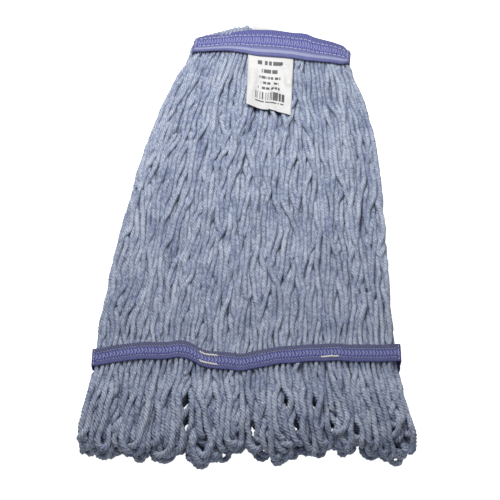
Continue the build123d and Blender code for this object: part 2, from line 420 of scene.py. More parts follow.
seat_order = np.arange(passes)
strays = (random.random(passes) < 0.2) * random.normal(0, 11, passes)
half_seats = {}
for half, droop in (("front", 5.0), ("rear", 0.0)):
    low, high = (front_tail_low, front_tail_high) if half == "front" else (rear_tail_low, rear_tail_high)
    tail_order = np.argsort(seat_order + random.normal(0, 2.6, passes) + strays)
    head_x, head_z = seats(seat_order, head_layers, band_half - 2, core_low[2] + 1.6, core_high[2] - 1.6)
    tail_x, tail_z = seats(tail_order, tail_layers, tail_half - 1.5, low[2] + 1.4, high[2] - 1.4)
    tail_y = tail_wave(tail_x, half)
    half_seats[half] = (tail_order, tail_x, tail_y, tail_z)
    bundle_wave = wander(fine_t, 1.8, 2, 7)
    for k in range(passes):
        if k % 6 == 0:
            bundle_wave = wander(fine_t, 1.8, 2, 7)
        x = head_x[k]
        share = height_share(x)
        fold_z = head_z[k] * share
        end = (tail_x[k], tail_top + tail_y[k], tail_z[k])
        if half == "front":
            start_y, start_z = lower_edge(x)[0] + 0.5, fold_z
        else:
            start_y, start_z = fold_line(x), 2 * fold_radius * share - fold_z
        edge = from_head((x, start_y, start_z))
        start = (*edge, from_head((0, start_y, 0))[0], x / band_half)
        skirt = skirt_line(fine_t, start, end)
        skirt[:, 0] += (start[0] - skirt[0, 0]) * (1 - smooth(fine_t * 3))
        skirt[:, 0] += bundle_wave + wander(fine_t, 2.1, 2, 13)
        skirt[:, 2] += wander(fine_t, 1.4, 2, 10) - droop * np.sin(np.pi * fine_t**0.8)
        if half == "front" and abs(strays[k]) > 6:
            skirt[:, 2] += 9 * np.sin(np.pi * fine_t) ** 2
        tail_in = np.array([[tail_x[k], end[1] - 9, tail_z[k]]])
        if half == "front":
            inside = from_head((x, start_y + 14, fold_z))[None]
            add_line(np.concatenate([inside, skirt, tail_in]), "front_skirt", 14.2, 9.2, 14, 9)
        else:
            bend = np.radians(np.linspace(90, -90, 24))
            reach = fold_z - fold_radius * share
            ring_y = start_y + reach * np.cos(bend)
            ring_z = fold_radius * share + reach * np.sin(bend)
            ring = np.stack([np.full(24, x), ring_y, ring_z], 1)
            inside = np.array([[x, start_y - 14, fold_z]])
            path = np.concatenate([from_head(inside), from_head(ring), skirt[1:], tail_in])
            add_line(path, "rear_skirt", 14.2, 9.2, 14, 9, 14 + math.pi * reach + 10)

# Where the loops gather into clumps, and how far each part of their ends stops short.
clump_places = np.array([-128, -112, -98, -86, -66, -33, -16, 12, 27, 43, 57, 78, 104, 118, 131.0])
foot_x = [
    -140, -122, -110, -98, -86, -78, -68, -56, -37, -28, -17, -5, 12, 27, 43, 55, 67, 80, 88, 96, 112, 128,
    140,
]
foot_rise = [12, 7, 3, 5, 3, 10, 0, 8, 0, -1, 7, 11, 6, -1, 9, 3, 13, 8, 20, 8, 2, 2, 12]
for half in ("front", "rear"):
    tail_order, tail_x, tail_y, tail_z = half_seats[half]
    neighbours = tail_order[np.argsort(np.arange(passes) + random.uniform(0, 2.2, passes))]
    lift = 5.0 if half == "front" else 0.0
    for a, b in neighbours.reshape(-1, 2):
        middle = (tail_x[a] + tail_x[b]) / 2 / tail_half
        out = middle * (fringe_high[0] - 2)
        clump = clump_places[np.argmin(np.abs(clump_places - out))]
        tip_x = out + 0.5 * (clump - out) + random.normal(0, 2.5)
        tip_x = np.clip(tip_x, -fringe_high[0] + 1, fringe_high[0] - 1)
        short = random.uniform(0, 5) + np.interp(tip_x, foot_x, foot_rise)
        short += (random.random() < 0.28) * random.uniform(5, 24)
        tip_y = loop_end + 1.5 + short
        turn_radius = random.uniform(3.2, 7.6)
        tilt = random.uniform(-0.6, 0.6)
        side = np.array([math.cos(tilt), 0, math.sin(tilt)]) * (1 if tail_x[b] >= tail_x[a] else -1)
        centre = np.array([tip_x, tip_y + turn_radius, lift + 3.4 + turn_radius * abs(math.sin(tilt))])
        bend = np.radians(np.linspace(180, 360, 12))
        turned = np.cos(bend)[:, None] * side + np.sin(bend)[:, None] * np.array([0, 1, 0])
        u_turn = centre + turn_radius * turned
        t = fine_t[:, None]
        legs = []
        for k, foot in ((a, u_turn[0]), (b, u_turn[-1])):
            top = np.array([tail_x[k], tail_foot + tail_y[k], tail_z[k]])
            leg = top + (foot - top) * t
            ease = smooth(fine_t)
            leg[:, 0] = top[0] + (foot[0] - top[0]) * (0.6 * fine_t + 0.4 * ease)
            leg[:, 0] += wander(fine_t, 1.7, 2, 6)
            leg[:, 2] += wander(fine_t, 0.9, 2, 6)
            legs.append(np.concatenate([top[None] + [[0, 9, 0]], leg]))
        path = np.concatenate([legs[0], u_turn[1:-1], legs[1][::-1]])
        add_line(path, half + "_fringe", 9.2, 9.2, 9, 9)

strand_sizes = np.array([len(path) for path in lines])
points = np.concatenate(lines)
strand_of = np.repeat(np.arange(len(lines)), strand_sizes)
radius_of = np.concatenate(line_radius)
held_of = np.concatenate(line_held)
length_of = np.append(np.sqrt((np.diff(points, axis=0) ** 2).sum(1)), 0)
rounds = 200
settled = settle(
    points, strand_of, held_of, radius_of, length_of, points.copy(), rounds, settle_weight, settle_tether
)

# A strand that lies on top or underneath over much of its length is drawn finer than a hidden one.
cell = np.round(settled[:, :2] / 3.5).astype(int)
cell -= cell.min(0)
key = cell[:, 0] * (cell[:, 1].max() + 1) + cell[:, 1]
top_of, bottom_of = np.full(key.max() + 1, -99.0), np.full(key.max() + 1, 99.0)
np.maximum.at(top_of, key, settled[:, 2])
np.minimum.at(bottom_of, key, settled[:, 2])
seen = (settled[:, 2] > top_of[key] - 3.2) | (settled[:, 2] < bottom_of[key] + 3.2)
exposed = np.bincount(strand_of, seen) / strand_sizes > 0.3
settled = np.split(settled, np.cumsum(strand_sizes)[:-1])

lay = 12.0


def tube_points(line, radius, spacing):
    """A strand's smooth centre line and radius at even rings, from its settled points."""
    count = len(line)
    rings = max(int(count * point_gap / spacing), 12)
    t = np.linspace(0, count - 1, rings)
    padded = np.concatenate([[2 * line[0] - line[1]], line, [2 * line[-1] - line[-2]]])
    k = np.minimum(t.astype(int), count - 2)
    u = (t - k)[:, None]
    p0, p1, p2 = padded[k], padded[k + 1], padded[k + 2]
    p3 = padded[np.minimum(k + 3, count + 1)]
    weights = ((1 - u) ** 3, 3 * u**3 - 6 * u**2 + 4, -3 * u**3 + 3 * u**2 + 3 * u + 1, u**3)
    centre = sum(weight * point for weight, point in zip(weights, (p0, p1, p2, p3))) / 6
    return centre, np.interp(t, np.arange(count), radius)


def strand_rings(index):
    """Rings of one plied strand: four ridges wind round it, and the vertices wind with them."""
    sides, spacing = (8, 1.6) if exposed[index] else (6, 2.2)
    centre, radius = tube_points(settled[index], line_radius[index], spacing)
    rings = len(centre)
    way = np.arange(rings) * spacing
    loose = smooth((radius - squeezed_radius) / 0.4)
    crimp = np.sin(way / 1.9 + 3.1 * index) * np.sin(way / 11 + index)
    crimp = crimp + 0.7 * np.sin(way / 3.3 + 1.7 * index)
    centre[:, 0] += 0.2 * loose * crimp
    centre[:, 2] += 0.12 * loose * np.sin(way / 2.7 + 2.3 * index)
    radius = radius * (1 + 0.06 * loose * np.sin(way / 4.3 + 1.3 * index) * np.sin(way / 17 + index))
    along = np.gradient(centre, axis=0)
    along /= np.sqrt((along**2).sum(1))[:, None]
    normal = np.empty_like(along)
    first = np.cross(along[0], [0, 0, 1.0])
    normal[0] = first / (np.linalg.norm(first) + 1e-9)
    for k in range(1, rings):
        n = normal[k - 1] - along[k] * (normal[k - 1] @ along[k])
        normal[k] = n / np.linalg.norm(n)
    cross = np.cross(along, normal)
    run = np.append(0, np.cumsum(np.sqrt((np.diff(centre, axis=0) ** 2).sum(1))))
    around = np.arange(sides) / sides * 2 * np.pi
    angle = around[None] - (2 * np.pi * run / lay + index)[:, None]
    ridge = np.full(sides, 0.97)
    if exposed[index]:
        ridge = np.where(np.arange(sides) % 2 == 0, ridge_share, groove_share)
    reach = radius[:, None] * ridge[None]
    rings_of = centre[:, None]
    rings_of = rings_of + (np.cos(angle) * reach)[..., None] * normal[:, None]
    rings_of = rings_of + (np.sin(angle) * reach)[..., None] * cross[:, None]
    return rings_of, run, sides


# The corners of a quad between two rings, as steps along the strand and round it.
quad_corners = ((0, 0), (0, 1), (1, 1), (1, 0))


def yarn_piece(name, parts, material, lay=lay):
    """One mesh of strands. Each part is a strand's rings, its runs and its number."""
    vertices, faces, pattern, atlas = [], [], [], []
    offset = 0
    rows = math.ceil(len(parts) / 2)
    longest = max(run[-1] - run[0] for _, run, _ in parts)
    for place, (rings, run, index) in enumerate(parts):
        count, sides = rings.shape[:2]
        vertices.append(rings.reshape(-1, 3))
        k = np.arange(count - 1)[:, None]
        j = np.arange(sides)[None]
        corner = np.stack([(k + a) * sides + (j + b) % sides for a, b in quad_corners], -1)
        faces.append(corner.reshape(-1, 4) + offset)
        offset += count * sides
        u = np.stack([run[k + a] + 0 * j for a, _ in quad_corners], -1).reshape(-1)
        v = np.stack([(j + b) / sides + 0 * k for _, b in quad_corners], -1).reshape(-1)
        pattern.append(np.stack([u / lay + 7.31 * index, v + index], 1))
        across = (place % 2 + 0.01 + 0.98 * (u - run[0]) / longest) / 2
        up = (place // 2 + 0.06 + 0.88 * v) / rows
        atlas.append(np.stack([across, up], 1))
    vertices, faces = np.concatenate(vertices) * mm, np.concatenate(faces)
    mesh = bpy.data.meshes.new(name)
    mesh.vertices.add(len(vertices))
    mesh.vertices.foreach_set("co", vertices.astype(np.float32).ravel())
    mesh.loops.add(faces.size)
    mesh.loops.foreach_set("vertex_index", faces.astype(np.int32).ravel())
    mesh.polygons.add(len(faces))
    mesh.polygons.foreach_set("loop_start", np.arange(0, faces.size, 4, dtype=np.int32))
    mesh.update(calc_edges=True)
    mesh.polygons.foreach_set("use_smooth", np.ones(len(faces), bool))
    for layer_name, data in (("Lay", pattern), ("OFBake", atlas)):
        flat = np.concatenate(data).astype(np.float32).ravel()
        mesh.uv_layers.new(name=layer_name).data.foreach_set("uv", flat)
    mesh.materials.append(material)
    piece = bpy.data.objects.new(name, mesh)
    bpy.context.scene.collection.objects.link(piece)
    return piece


def new_group(name, inputs, outputs):
    """An empty shader group with the named sockets, and its two end nodes."""
    tree = bpy.data.node_groups.new(name, "ShaderNodeTree")
    for socket, kind, value in inputs:
        made = tree.interface.new_socket(socket, in_out="INPUT", socket_type=kind)
        if value is not None:
            made.default_value = value
    for socket, kind in outputs:
        tree.interface.new_socket(socket, in_out="OUTPUT", socket_type=kind)
    return tree, tree.nodes.new("NodeGroupInput"), tree.nodes.new("NodeGroupOutput")


def wire(tree, kind, settings=(), **sources):
    """Adds a node, sets its properties, and feeds its inputs from sockets or values."""
    node = tree.nodes.new(kind)
    for key, value in dict(settings).items():
        setattr(node, key, value)
    for key, value in sources.items():
        numbered = key[0] == "i" and key[1:].isdigit()
        socket = node.inputs[int(key[1:]) if numbered else key.replace("_", " ")]
        if isinstance(value, bpy.types.NodeSocket):
            tree.links.new(value, socket)
        else:
            socket.default_value = value
    return node


def maths(tree, operation, *values):
    """A maths node's result."""
    inputs = {f"i{k}": value for k, value in enumerate(values)}
    return wire(tree, "ShaderNodeMath", {"operation": operation}, **inputs).outputs[0]


def blend_colour(tree, amount, one, other, kind="MIX"):
    """Two colours mixed by an amount."""
    node = tree.nodes.new("ShaderNodeMix")
    node.data_type = "RGBA"
    node.blend_type = kind
    for socket, value in ((node.inputs[0], amount), (node.inputs[6], one), (node.inputs[7], other)):
        if isinstance(value, bpy.types.NodeSocket):
            tree.links.new(value, socket)
        else:
            socket.default_value = value
    return node.outputs[2]


# Ply: soft ridges and dark grooves that wind round the strand, with the fibres along them.
ply_tree, ply_in, ply_out = new_group(
    "ply_twist",
    [
        ("Lay", "NodeSocketVector", None),
        ("Plies", "NodeSocketFloat", 4.0),
        ("Fibre Size", "NodeSocketFloat", 26.0),
    ],
    [
        ("Groove", "NodeSocketFloat"),
        ("Fibre", "NodeSocketFloat"),
        ("Strand", "NodeSocketFloat"),
        ("Height", "NodeSocketFloat"),
    ],
)
parts = wire(ply_tree, "ShaderNodeSeparateXYZ", i0=ply_in.outputs["Lay"])
angle = maths(ply_tree, "MULTIPLY", parts.outputs["Y"], ply_in.outputs["Plies"])
saw = maths(ply_tree, "PINGPONG", angle, 0.5)
groove = maths(ply_tree, "MULTIPLY", saw, 2.0)
strand = maths(ply_tree, "FLOOR", parts.outputs["Y"])
fibre_along = maths(ply_tree, "MULTIPLY", parts.outputs["X"], 5.0)
fibre_round = maths(ply_tree, "MULTIPLY", parts.outputs["Y"], ply_in.outputs["Fibre Size"])
fibre_round = maths(ply_tree, "ADD", fibre_round, maths(ply_tree, "MULTIPLY", parts.outputs["X"], 9.0))
fibre_place = wire(ply_tree, "ShaderNodeCombineXYZ", i0=fibre_along, i1=fibre_round, i2=strand)
fibre = wire(
    ply_tree,
    "ShaderNodeTexNoise",
    {"noise_dimensions": "3D"},
    Vector=fibre_place.outputs[0],
    Scale=1.0,
    Detail=3.0,
    Roughness=0.62,
)
strand_noise = wire(ply_tree, "ShaderNodeTexWhiteNoise", {"noise_dimensions": "1D"}, W=strand)
ridge_height = maths(ply_tree, "SUBTRACT", 1.0, maths(ply_tree, "POWER", groove, 2.2))
fibre_height = maths(ply_tree, "MULTIPLY", fibre.outputs[0], 0.25)
height = maths(ply_tree, "ADD", maths(ply_tree, "MULTIPLY", ridge_height, 0.75), fibre_height)
ply_tree.links.new(groove, ply_out.inputs["Groove"])
ply_tree.links.new(fibre.outputs[0], ply_out.inputs["Fibre"])
ply_tree.links.new(strand_noise.outputs[0], ply_out.inputs["Strand"])
ply_tree.links.new(height, ply_out.inputs["Height"])

# Heather: grey-blue fibres carded with darker blue and cream ones, in streaks and small nubs.
heather_tree, heather_in, heather_out = new_group(
    "heather",
    [
        ("Place", "NodeSocketVector", None),
        ("Fibre", "NodeSocketFloat", 0.5),
        ("Strand", "NodeSocketFloat", 0.5),
        ("Light", "NodeSocketColor", (0.5, 0.55, 0.66, 1)),
        ("Dark", "NodeSocketColor", (0.2, 0.25, 0.42, 1)),
        ("Cream", "NodeSocketColor", (0.8, 0.77, 0.68, 1)),
    ],
    [("Color", "NodeSocketColor"), ("Nub", "NodeSocketFloat")],
)
streak = wire(heather_tree, "ShaderNodeMapRange", i0=heather_in.outputs["Fibre"], i1=0.36, i2=0.66)
patch = wire(heather_tree, "ShaderNodeTexNoise", Vector=heather_in.outputs["Place"], Scale=55.0, Detail=2.0)
patch_range = wire(
    heather_tree, "ShaderNodeMapRange", i0=patch.outputs[0], i1=0.3, i2=0.7, i3=-0.22, i4=0.22
)
tone = maths(heather_tree, "ADD", streak.outputs[0], patch_range.outputs[0])
mottle = wire(
    heather_tree,
    "ShaderNodeTexNoise",
    Vector=heather_in.outputs["Place"],
    Scale=330.0,
    Detail=3.0,
    Roughness=0.7,
)
mottle_range = wire(
    heather_tree, "ShaderNodeMapRange", i0=mottle.outputs[0], i1=0.36, i2=0.64, i3=-0.34, i4=0.34
)
tone = maths(heather_tree, "ADD", tone, mottle_range.outputs[0])
strand_tone = maths(heather_tree, "SUBTRACT", heather_in.outputs["Strand"], 0.5)
tone = maths(heather_tree, "ADD", tone, maths(heather_tree, "MULTIPLY", strand_tone, 0.3))
tone = wire(heather_tree, "ShaderNodeClamp", i0=tone).outputs[0]
mixed = blend_colour(heather_tree, tone, heather_in.outputs["Dark"], heather_in.outputs["Light"])
nub_noise = wire(
    heather_tree, "ShaderNodeTexNoise", Vector=heather_in.outputs["Place"], Scale=520.0, Detail=1.0
)
nub = wire(heather_tree, "ShaderNodeMapRange", i0=nub_noise.outputs[0], i1=0.66, i2=0.76)
fleck = maths(heather_tree, "MULTIPLY", nub.outputs[0], 0.75)
flecked = blend_colour(heather_tree, fleck, mixed, heather_in.outputs["Cream"])
heather_tree.links.new(flecked, heather_out.inputs["Color"])
heather_tree.links.new(nub.outputs[0], heather_out.inputs["Nub"])


def group_node(tree, group):
    node = tree.nodes.new("ShaderNodeGroup")
    node.node_tree = group
    return node


blue_yarn = bpy.data.materials.new("blue_yarn")
blue_yarn.use_nodes = True
tree = blue_yarn.node_tree
shader = tree.nodes["Principled BSDF"]
lay_map = wire(tree, "ShaderNodeUVMap", {"uv_map": "Lay"})
ply = group_node(tree, ply_tree)
tree.links.new(lay_map.outputs[0], ply.inputs["Lay"])
heather = group_node(tree, heather_tree)
object_place = wire(tree, "ShaderNodeTexCoord")
tree.links.new(object_place.outputs["Object"], heather.inputs["Place"])
tree.links.new(ply.outputs["Fibre"], heather.inputs["Fibre"])
tree.links.new(ply.outputs["Strand"], heather.inputs["Strand"])
heather.inputs["Light"].default_value = (0.66, 0.72, 0.83, 1)
heather.inputs["Dark"].default_value = (0.16, 0.205, 0.35, 1)
# Painted shade: the ply grooves are darkened towards a deep blue.
shadow = maths(tree, "MULTIPLY", maths(tree, "POWER", ply.outputs["Groove"], 2.0), 0.58)
in_groove = blend_colour(tree, shadow, heather.outputs["Color"], (0.12, 0.15, 0.26, 1))
tree.links.new(in_groove, shader.inputs["Base Color"])
shader.inputs["Roughness"].default_value = 0.88
shader.inputs["Sheen Weight"].default_value = 0.12
bump = wire(tree, "ShaderNodeBump", Height=ply.outputs["Height"], Strength=0.8, Distance=0.0007)
tree.links.new(bump.outputs[0], shader.inputs["Normal"])

# Front half as three pieces, the fold and the rear half cut at the headband, and the fringes.
groups = np.array(line_group)
lines_of = {name: np.where(groups == name)[0] for name in np.unique(groups)}


def whole(members):
    return [(*strand_rings(index)[:2], index) for index in members]


for number, members in enumerate(np.array_split(lines_of["front_skirt"], 3)):
    piece = yarn_piece(f"front_skirt_strands_{number + 1}", whole(members), blue_yarn)
    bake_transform(piece)
    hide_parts("front_skirt_yarn", "headband_yarn", "front_tailband_yarn")

fold_parts, rear_parts = [], []
for index in lines_of["rear_skirt"]:
    rings, run, _ = strand_rings(index)
    cut = int(np.searchsorted(run, line_cut[index]))
    fold_parts.append((rings[: cut + 1], run[: cut + 1], index))
    rear_parts.append((rings[cut:], run[cut:], index))
fold_piece = yarn_piece("fold_strands", fold_parts, blue_yarn)
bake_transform(fold_piece)
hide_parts("yarn_fold", "headband_yarn")
for number in range(3):
    share = passes // 3 + 1
    third = rear_parts[number * share : (number + 1) * share]
    piece = yarn_piece(f"rear_skirt_strands_{number + 1}", third, blue_yarn)
    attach(piece, "rear_skirt")
    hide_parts("rear_skirt_yarn", "rear_tailband_yarn")
for half in ("front", "rear"):
    piece = yarn_piece(half + "_fringe_strands", whole(lines_of[half + "_fringe"]), blue_yarn)
    height = front_tail_low[2] if half == "front" else rear_tail_low[2]
    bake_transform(piece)
    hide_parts(half + "_fringe_yarn")

# ---------------------------------------------------------------------------------------
# Headband tapes: a violet-blue woven tape that wraps the yarn from above with its ends
# folded down, a plain one under the yarn, and a striped hem along the face's lower edge.


def tape_piece(name, surface, s, v, thickness, up, pattern, material):
    """A woven tape: a closed slab under the given outer surface, s along it and v across."""
    outer = surface(s[:, None] + 0 * v[None], v[None] + 0 * s[:, None])
    ds, dv = np.gradient(outer, axis=0), np.gradient(outer, axis=1)
    normal = np.cross(ds, dv)
    normal /= np.linalg.norm(normal, axis=2)[..., None] + 1e-9
    if normal[len(s) // 2, :, 2].mean() * up < 0:
        normal = -normal
    dv /= np.linalg.norm(dv, axis=2)[..., None] + 1e-9
    inner = outer - normal * thickness
    high = (outer[:, -1] + inner[:, -1]) / 2 + dv[:, -1] * thickness * 0.35
    low = (outer[:, 0] + inner[:, 0]) / 2 - dv[:, 0] * thickness * 0.35
    rings = np.concatenate([outer, high[:, None], inner[:, ::-1], low[:, None]], 1)
    count, size = rings.shape[:2]
    m = len(v)
    q = pattern(s, v)
    q = np.concatenate([q, q[:, -1:], q[:, ::-1], q[:, :1], q[:, :1]], 1)
    k, j = np.arange(count - 1)[:, None], np.arange(size)[None]
    quads = np.stack([(k + a) * size + (j + b) % size for a, b in quad_corners], -1)
    caps = []
    for base, turned in ((0, True), ((count - 1) * size, False)):
        rim = [[base + i, base + i + 1, base + 2 * m - i - 1, base + 2 * m - i] for i in range(m - 1)]
        rim += [[base + m - 1, base + m, base + m + 1], [base, base + 2 * m, base + 2 * m + 1]]
        caps += [face[::-1] if turned else face for face in rim]
    mesh = bpy.data.meshes.new(name)
    mesh.from_pydata((rings.reshape(-1, 3) * mm).tolist(), [], quads.reshape(-1, 4).tolist() + caps)
    mesh.polygons.foreach_set("use_smooth", np.ones(len(mesh.polygons), bool))
    weave_uv = np.zeros((len(mesh.loops), 2))
    bake_uv = np.zeros((len(mesh.loops), 2))
    k, j = k + 0 * j, j + 0 * k
    for corner, (a, b) in enumerate(quad_corners):
        at = np.arange(quads[..., 0].size) * 4 + corner
        weave_uv[at, 0] = s[k + a].ravel()
        weave_uv[at, 1] = q[k + a, j + b].ravel()
        bake_uv[at, 0] = 0.01 + 0.98 * ((s[k + a] - s[0]) / (s[-1] - s[0])).ravel()
        bake_uv[at, 1] = 0.01 + 0.98 * ((j + b) / size).ravel()
    mesh.uv_layers.new(name="Weave").data.foreach_set("uv", weave_uv.astype(np.float32).ravel())
    mesh.uv_layers.new(name="OFBake").data.foreach_set("uv", bake_uv.astype(np.float32).ravel())
    mesh.materials.append(material)
    mesh.validate()
    piece = bpy.data.objects.new(name, mesh)
    bpy.context.scene.collection.objects.link(piece)
    if normal[len(s) // 2, m // 2] @ np.array(mesh.polygons[(count // 2) * size + m // 2].normal) < 0:
        mesh.flip_normals()
    return piece


# Tape weave: diagonal ribs all over, a chain of lighter chevrons down the middle field.
weave_tree, weave_in, weave_out = new_group(
    "tape_weave",
    [
        ("Place", "NodeSocketVector", None),
        ("Chevron Pitch", "NodeSocketFloat", 3.0),
        ("Middle", "NodeSocketColor", (0.10, 0.10, 0.42, 1)),
        ("Upper", "NodeSocketColor", (0.13, 0.12, 0.33, 1)),
        ("Lower", "NodeSocketColor", (0.2, 0.21, 0.46, 1)),
        ("Light", "NodeSocketColor", (0.33, 0.35, 0.6, 1)),
    ],
    [("Color", "NodeSocketColor"), ("Height", "NodeSocketFloat")],
)
parts = wire(weave_tree, "ShaderNodeSeparateXYZ", i0=weave_in.outputs["Place"])
u, q = parts.outputs["X"], parts.outputs["Y"]
rib_at = maths(
    weave_tree, "ADD", maths(weave_tree, "MULTIPLY", u, 3.1), maths(weave_tree, "MULTIPLY", q, 8.0)
)


def thread_wave(place):
    """0 between the threads of the weave and 1 along their tops."""
    return maths(weave_tree, "MULTIPLY_ADD", maths(weave_tree, "SINE", place), 0.5, 0.5)


rib = thread_wave(rib_at)
weft = thread_wave(maths(weave_tree, "MULTIPLY", u, 12.0))
off_middle = maths(weave_tree, "ABSOLUTE", maths(weave_tree, "SUBTRACT", q, 1.5))
wedge = maths(weave_tree, "ADD", u, maths(weave_tree, "MULTIPLY", off_middle, 5.0))
wedge = maths(weave_tree, "DIVIDE", wedge, weave_in.outputs["Chevron Pitch"])
wedge = maths(weave_tree, "PINGPONG", wedge, 0.5)
chevron = wire(weave_tree, "ShaderNodeMapRange", i0=wedge, i1=0.24, i2=0.34).outputs[0]
chevron_field = wire(weave_tree, "ShaderNodeMapRange", i0=off_middle, i1=0.3, i2=0.22).outputs[0]
chevron = maths(weave_tree, "MULTIPLY", chevron, chevron_field)
is_upper = wire(weave_tree, "ShaderNodeMapRange", i0=q, i1=1.97, i2=2.03).outputs[0]
is_lower = wire(weave_tree, "ShaderNodeMapRange", i0=q, i1=1.03, i2=0.97).outputs[0]
ground = blend_colour(weave_tree, is_upper, weave_in.outputs["Middle"], weave_in.outputs["Upper"])
ground = blend_colour(weave_tree, is_lower, ground, weave_in.outputs["Lower"])
rib_light = maths(weave_tree, "MULTIPLY", maths(weave_tree, "POWER", rib, 2.5), 0.5)
ground = blend_colour(weave_tree, rib_light, ground, weave_in.outputs["Light"])
worn_noise = wire(
    weave_tree, "ShaderNodeTexNoise", Vector=weave_in.outputs["Place"], Scale=0.35, Detail=4.0
)
worn = wire(weave_tree, "ShaderNodeMapRange", i0=worn_noise.outputs[0], i1=0.3, i2=0.75, i3=0.0, i4=0.16)
ground = blend_colour(weave_tree, worn.outputs[0], ground, weave_in.outputs["Light"])
chevron_light = maths(weave_tree, "MULTIPLY", chevron, 0.85)
colour = blend_colour(weave_tree, chevron_light, ground, weave_in.outputs["Light"])
weave_tree.links.new(colour, weave_out.inputs["Color"])
relief = maths(
    weave_tree, "ADD", maths(weave_tree, "MULTIPLY", rib, 0.6), maths(weave_tree, "MULTIPLY", weft, 0.25)
)
relief = maths(weave_tree, "ADD", relief, maths(weave_tree, "MULTIPLY", chevron, 0.5))
weave_tree.links.new(relief, weave_out.inputs["Height"])


def tape_material(name, pitch, middle, upper, lower, light):
    material = bpy.data.materials.new(name)
    material.use_nodes = True
    tree = material.node_tree
    shader = tree.nodes["Principled BSDF"]
    place = wire(tree, "ShaderNodeUVMap", {"uv_map": "Weave"})
    weave = group_node(tree, weave_tree)
    tree.links.new(place.outputs[0], weave.inputs["Place"])
    weave.inputs["Chevron Pitch"].default_value = pitch
    for socket, value in (("Middle", middle), ("Upper", upper), ("Lower", lower), ("Light", light)):
        weave.inputs[socket].default_value = (*value, 1)
    tree.links.new(weave.outputs["Color"], shader.inputs["Base Color"])
    shader.inputs["Roughness"].default_value = 0.66
    shader.inputs["Sheen Weight"].default_value = 0.05
    bump = wire(tree, "ShaderNodeBump", Height=weave.outputs["Height"], Strength=0.6, Distance=0.0004)
    tree.links.new(bump.outputs[0], shader.inputs["Normal"])
    return material


head_tape = tape_material(
    "headband_weave",
    pitch=2.6,
    middle=(0.04, 0.042, 0.27),
    upper=(0.055, 0.056, 0.26),
    lower=(0.075, 0.08, 0.27),
    light=(0.30, 0.32, 0.52),
)
hem_tape = tape_material(
    "hem_weave",
    pitch=2.6,
    middle=(0.26, 0.28, 0.46),
    upper=(0.09, 0.095, 0.29),
    lower=(0.05, 0.054, 0.24),
    light=(0.36, 0.39, 0.56),
)
flat_run = 73.0
corner_radius = 2.0
end_drop = 8.0
face_reach = flat_run + corner_radius * math.pi / 2 + end_drop - corner_radius
tape_thickness = 1.2


def upper_row(x):
    """Where the upper row of sewing runs, as a share of the tape's width."""
    return 0.735 + 0 * x


def lower_row(x):
    return 0.27 + 0.07 * smooth((x + 60) / 50)


def face_surface(s, v):
    """The face tape's outer side: over the head, round the corners and down both ends."""
    a = np.clip((np.abs(s) - flat_run) / corner_radius, 0, math.pi / 2)
    x = np.sign(s) * (np.minimum(np.abs(s), flat_run) + corner_radius * np.sin(a))
    past_corner = np.clip(np.abs(s) - flat_run - corner_radius * math.pi / 2, 0, None)
    drop = corner_radius * (1 - np.cos(a)) + past_corner
    y0, z0 = lower_edge(x)
    y1, z1 = upper_edge(x)
    rows = np.exp(-(((v - upper_row(x)) / 0.03) ** 2)) + np.exp(-(((v - lower_row(x)) / 0.03) ** 2))
    ripple = 0.22 * np.sin(x / 2.9 + 5 * v) * np.sin(x / 17) + 0.3 * np.sin(x / 11 + 3 * v)
    y = y0 + (y1 - y0) * v + 0.35 * np.sin(x / 8.5) * (1 - v) + 0.2 * np.sin(x / 5.1 + 2) * v
    z = z0 + (z1 - z0) * v + 4 * v * (1 - v) * 1.7 - drop - 0.32 * rows + ripple * (1 - drop / 12)
    return from_head(np.stack([x, y, z], -1))


def inner_surface(s, v):
    """The inner tape's underside, which lines the eye."""
    y0, y1 = lower_edge(s)[0] + 0.8, fold_line(s) - 1.2
    z = (core_low[2] - 1.5) * height_share(s) + 0.15 * np.sin(s / 6 + 4 * v)
    return from_head(np.stack([s, y0 + (y1 - y0) * v, z], -1))


def field(s, v):
    """Pattern lines: 0 at the lower edge, 1 and 2 at the two rows of sewing, 3 at the top."""
    x = np.clip(s, -flat_run, flat_run)[:, None]
    low, high = lower_row(x), upper_row(x)
    v = v[None] + 0 * x
    above_low = np.where(v < high, 1 + (v - low) / (high - low), 2 + (v - high) / (1 - high))
    return np.where(v < low, v / low, above_low)


along = np.linspace(-face_reach, face_reach, 241)
across = np.linspace(0, 1, 37)
face_tape = tape_piece(
    "headband_face_cloth", face_surface, along, across, tape_thickness, 1, field, head_tape
)
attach(face_tape, "headband")
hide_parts("headband_face_tape")
inner_along = np.linspace(-flat_run - 1, flat_run + 1, 149)
inner_tape = tape_piece(
    "headband_inner_cloth", inner_surface, inner_along, across[::2], 1.1, -1, field, head_tape
)
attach(inner_tape, "headband")
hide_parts("headband_inner_tape")


def hem_surface(s, v):
    """The hem: a strip turned up over the face tape's lower edge."""
    reach = lower_row(s) - 0.035
    here = face_surface(s, v * reach)
    here[..., 2] += 0.75 * np.sqrt(np.clip(1 - (2 * v - 1) ** 4, 0, 1)) - 0.1
    here[..., 1] -= 0.5 * (1 - v)
    return here


def hem_field(s, v):
    return 3 * v[None] + 0 * s[:, None]


hem_along = np.linspace(-flat_run, flat_run, 201)
hem_across = np.linspace(0, 1, 11)
hem_thickness = 0.7
hem = tape_piece(
    "headband_hem_cloth", hem_surface, hem_along, hem_across, hem_thickness, 1, hem_field, hem_tape
)
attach(hem, "headband")
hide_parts("headband_hem")

# ---------------------------------------------------------------------------------------
# Sewing thread: white 3-ply cotton, lock-stitched in two rows along each band and across
# its folded ends. Each visible stitch is a short bowed length that dips into the tape.

thread_lay = 2.4


